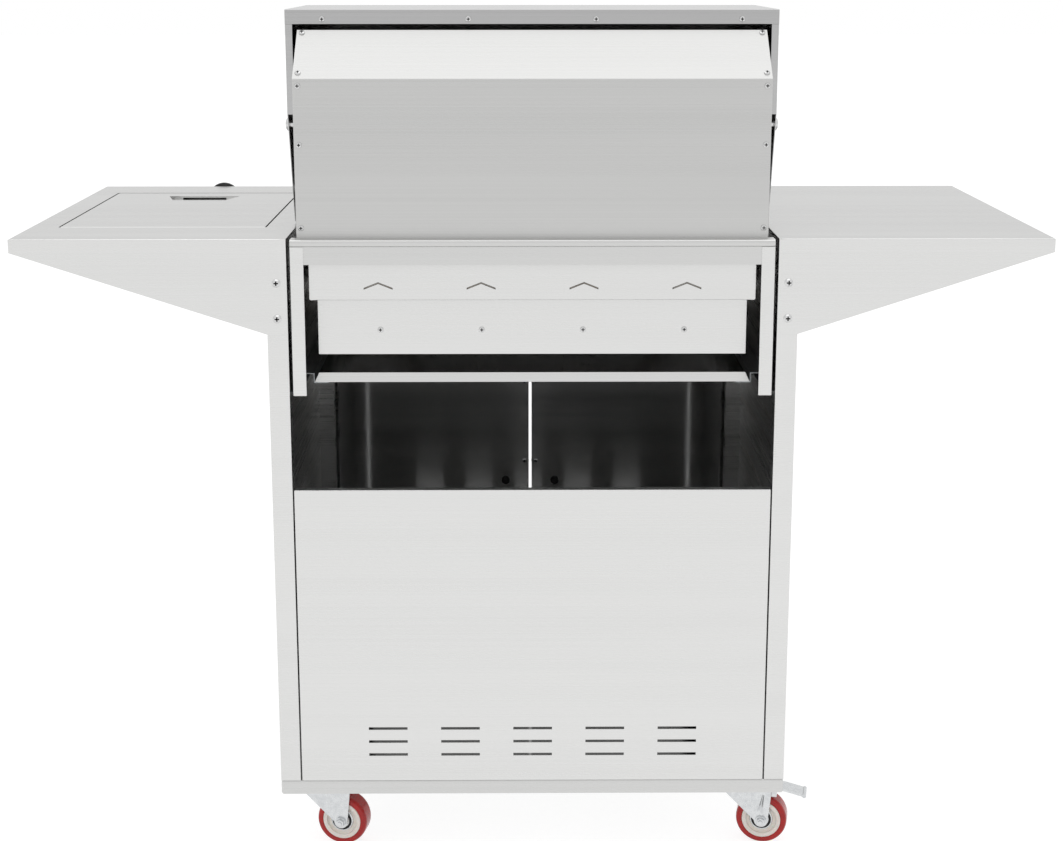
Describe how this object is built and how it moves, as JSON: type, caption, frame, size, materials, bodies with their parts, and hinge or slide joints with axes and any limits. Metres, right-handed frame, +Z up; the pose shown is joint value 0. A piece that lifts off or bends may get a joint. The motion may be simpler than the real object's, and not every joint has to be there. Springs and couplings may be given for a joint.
{
  "type": "gas grill",
  "caption": "Freestanding gas grill: hinged hood over a firebox, control knobs, side shelves with a lidded side burner, and a cabinet cart on swivel casters.",
  "frame": {"origin": "on the floor, below the centre of the bounding box", "axes": "+Z up, the doors and knobs face -Y, the pictured back faces +Y, +X towards the side burner"},
  "size_m": [1.43, 0.6568, 1.22],
  "materials": {
    "stainless": "brushed",
    "grate_steel": "satin",
    "burner_steel": "satin",
    "galvanised": "matte",
    "zinc": "bright zinc plate",
    "chrome_trim": "polished",
    "valve_alloy": "cast",
    "burner_brass": "satin",
    "cast_iron": "matte enamel",
    "knob_black": "satin",
    "hub_cream": "moulded",
    "tread_red": "moulded polyurethane"
  },
  "bodies": {
    "cart": {"base_pan": "stainless", "cart_sides": "stainless", "cart_rear_panel": "stainless", "cart_rails": "galvanised", "hinge_pins": "chrome_trim", "plain_shelf": "stainless", "burner_shelf": "stainless", "shelf_bolts": "chrome_trim", "side_burner_bowl": "stainless", "side_burner_head": "burner_brass", "side_burner_grate": "cast_iron", "head_sides": "stainless", "head_trim": "stainless", "head_rear_panel": "stainless", "firebox_rear": "stainless", "firebox_walls": "burner_steel", "main_burners": "burner_steel", "flame_tamers": "burner_steel", "cooking_grates": "grate_steel", "warming_rack": "grate_steel", "control_panel": "stainless", "gas_manifold": "galvanised", "gas_valves": "valve_alloy", "knob_bezels": "chrome_trim", "tray_runners": "galvanised", "caster_plates": "zinc"},
    "hood": {"hood_skin": "stainless", "hood_ends": "stainless", "hood_handle": "chrome_trim", "hood_gauge": "chrome_trim"},
    "side_lid": {"side_burner_lid": "stainless"},
    "door_left": {"door_left": "stainless", "door_handle_left": "chrome_trim"},
    "door_right": {"door_right": "stainless", "door_handle_right": "chrome_trim"},
    "tray": {"drip_tray": "stainless"},
    "stem_1": {"valve_rotor_1": "valve_alloy"},
    "knob_1": {"knob_1": "knob_black"},
    "stem_2": {"valve_rotor_2": "valve_alloy"},
    "knob_2": {"knob_2": "knob_black"},
    "stem_3": {"valve_rotor_3": "valve_alloy"},
    "knob_3": {"knob_3": "knob_black"},
    "stem_4": {"valve_rotor_4": "valve_alloy"},
    "knob_4": {"knob_4": "knob_black"},
    "side_stem": {"side_valve_rotor": "valve_alloy"},
    "side_knob": {"side_burner_knob": "knob_black"},
    "fork_front_left": {"caster_fork_front_left": "zinc"},
    "wheel_front_left": {"wheel_hub_front_left": "hub_cream", "wheel_tread_front_left": "tread_red"},
    "pedal_front_left": {"brake_pedal_front_left": "zinc"},
    "fork_front_right": {"caster_fork_front_right": "zinc"},
    "wheel_front_right": {"wheel_hub_front_right": "hub_cream", "wheel_tread_front_right": "tread_red"},
    "fork_rear_left": {"caster_fork_rear_left": "zinc"},
    "wheel_rear_left": {"wheel_hub_rear_left": "hub_cream", "wheel_tread_rear_left": "tread_red"},
    "pedal_rear_left": {"brake_pedal_rear_left": "zinc"},
    "fork_rear_right": {"caster_fork_rear_right": "zinc"},
    "wheel_rear_right": {"wheel_hub_rear_right": "hub_cream", "wheel_tread_rear_right": "tread_red"}
  },
  "joints": [
    {"name": "hood_hinge", "type": "hinge", "parent": "cart", "child": "hood", "pos_m": [0, 0.20915, 1.06], "axis": [-1, 0, 0], "range_deg": [0, 92]},
    {"name": "side_lid_hinge", "type": "hinge", "parent": "cart", "child": "side_lid", "pos_m": [0.52675, 0.20315, 0.908], "axis": [-1, 0, 0], "range_deg": [0, 95]},
    {"name": "door_left_hinge", "type": "hinge", "parent": "cart", "child": "door_left", "pos_m": [-0.354, -0.26585, 0.39], "axis": [0, 0, -1], "range_deg": [0, 110]},
    {"name": "door_right_hinge", "type": "hinge", "parent": "cart", "child": "door_right", "pos_m": [0.354, -0.26585, 0.39], "axis": [0, 0, 1], "range_deg": [0, 110]},
    {"name": "drip_tray_slide", "type": "slide", "parent": "cart", "child": "tray", "axis": [0, -1, 0], "range_m": [0, 0.4]},
    {"name": "knob_1_turn", "type": "hinge", "parent": "cart", "child": "stem_1", "pos_m": [-0.21375, -0.29585, 0.795], "axis": [0, -1, 0], "range_deg": [0, 190]},
    {"name": "knob_1_push", "type": "slide", "parent": "stem_1", "child": "knob_1", "axis": [0, 1, 0], "range_m": [0, 0.003], "stiffness_N_per_m": 500, "springref_m": -0.003},
    {"name": "knob_2_turn", "type": "hinge", "parent": "cart", "child": "stem_2", "pos_m": [-0.07125, -0.29585, 0.795], "axis": [0, -1, 0], "range_deg": [0, 190]},
    {"name": "knob_2_push", "type": "slide", "parent": "stem_2", "child": "knob_2", "axis": [0, 1, 0], "range_m": [0, 0.003], "stiffness_N_per_m": 500, "springref_m": -0.003},
    {"name": "knob_3_turn", "type": "hinge", "parent": "cart", "child": "stem_3", "pos_m": [0.07125, -0.29585, 0.795], "axis": [0, -1, 0], "range_deg": [0, 190]},
    {"name": "knob_3_push", "type": "slide", "parent": "stem_3", "child": "knob_3", "axis": [0, 1, 0], "range_m": [0, 0.003], "stiffness_N_per_m": 500, "springref_m": -0.003},
    {"name": "knob_4_turn", "type": "hinge", "parent": "cart", "child": "stem_4", "pos_m": [0.21375, -0.29585, 0.795], "axis": [0, -1, 0], "range_deg": [0, 190]},
    {"name": "knob_4_push", "type": "slide", "parent": "stem_4", "child": "knob_4", "axis": [0, 1, 0], "range_m": [0, 0.003], "stiffness_N_per_m": 500, "springref_m": -0.003},
    {"name": "side_knob_turn", "type": "hinge", "parent": "cart", "child": "side_stem", "pos_m": [0.518, -0.25405, 0.892], "axis": [0, -1, 0], "range_deg": [0, 190]},
    {"name": "side_knob_push", "type": "slide", "parent": "side_stem", "child": "side_knob", "axis": [0, 1, 0], "range_m": [0, 0.003], "stiffness_N_per_m": 500, "springref_m": -0.003},
    {"name": "swivel_front_left", "type": "hinge", "parent": "cart", "child": "fork_front_left", "pos_m": [-0.311, -0.22585, 0.09], "axis": [0, 0, 1], "continuous": true},
    {"name": "roll_front_left", "type": "hinge", "parent": "fork_front_left", "child": "wheel_front_left", "pos_m": [-0.3423, -0.2192, 0.0375], "axis": [0.2079, 0.9781, 0], "continuous": true},
    {"name": "brake_front_left", "type": "hinge", "parent": "fork_front_left", "child": "pedal_front_left", "pos_m": [-0.34621, -0.21837, 0.081], "axis": [-0.2079, -0.9781, 0], "range_deg": [0, 8]},
    {"name": "swivel_front_right", "type": "hinge", "parent": "cart", "child": "fork_front_right", "pos_m": [0.311, -0.22585, 0.09], "axis": [0, 0, 1], "continuous": true},
    {"name": "roll_front_right", "type": "hinge", "parent": "fork_front_right", "child": "wheel_front_right", "pos_m": [0.2797, -0.2192, 0.0375], "axis": [0.2079, 0.9781, 0], "continuous": true},
    {"name": "swivel_rear_left", "type": "hinge", "parent": "cart", "child": "fork_rear_left", "pos_m": [-0.311, 0.27215, 0.09], "axis": [0, 0, 1], "continuous": true},
    {"name": "roll_rear_left", "type": "hinge", "parent": "fork_rear_left", "child": "wheel_rear_left", "pos_m": [-0.3423, 0.2788, 0.0375], "axis": [0.2079, 0.9781, 0], "continuous": true},
    {"name": "brake_rear_left", "type": "hinge", "parent": "fork_rear_left", "child": "pedal_rear_left", "pos_m": [-0.34621, 0.27963, 0.081], "axis": [-0.2079, -0.9781, 0], "range_deg": [0, 8]},
    {"name": "swivel_rear_right", "type": "hinge", "parent": "cart", "child": "fork_rear_right", "pos_m": [0.311, 0.27215, 0.09], "axis": [0, 0, 1], "continuous": true},
    {"name": "roll_rear_right", "type": "hinge", "parent": "fork_rear_right", "child": "wheel_rear_right", "pos_m": [0.2797, 0.2788, 0.0375], "axis": [0.2079, 0.9781, 0], "continuous": true}
  ]
}
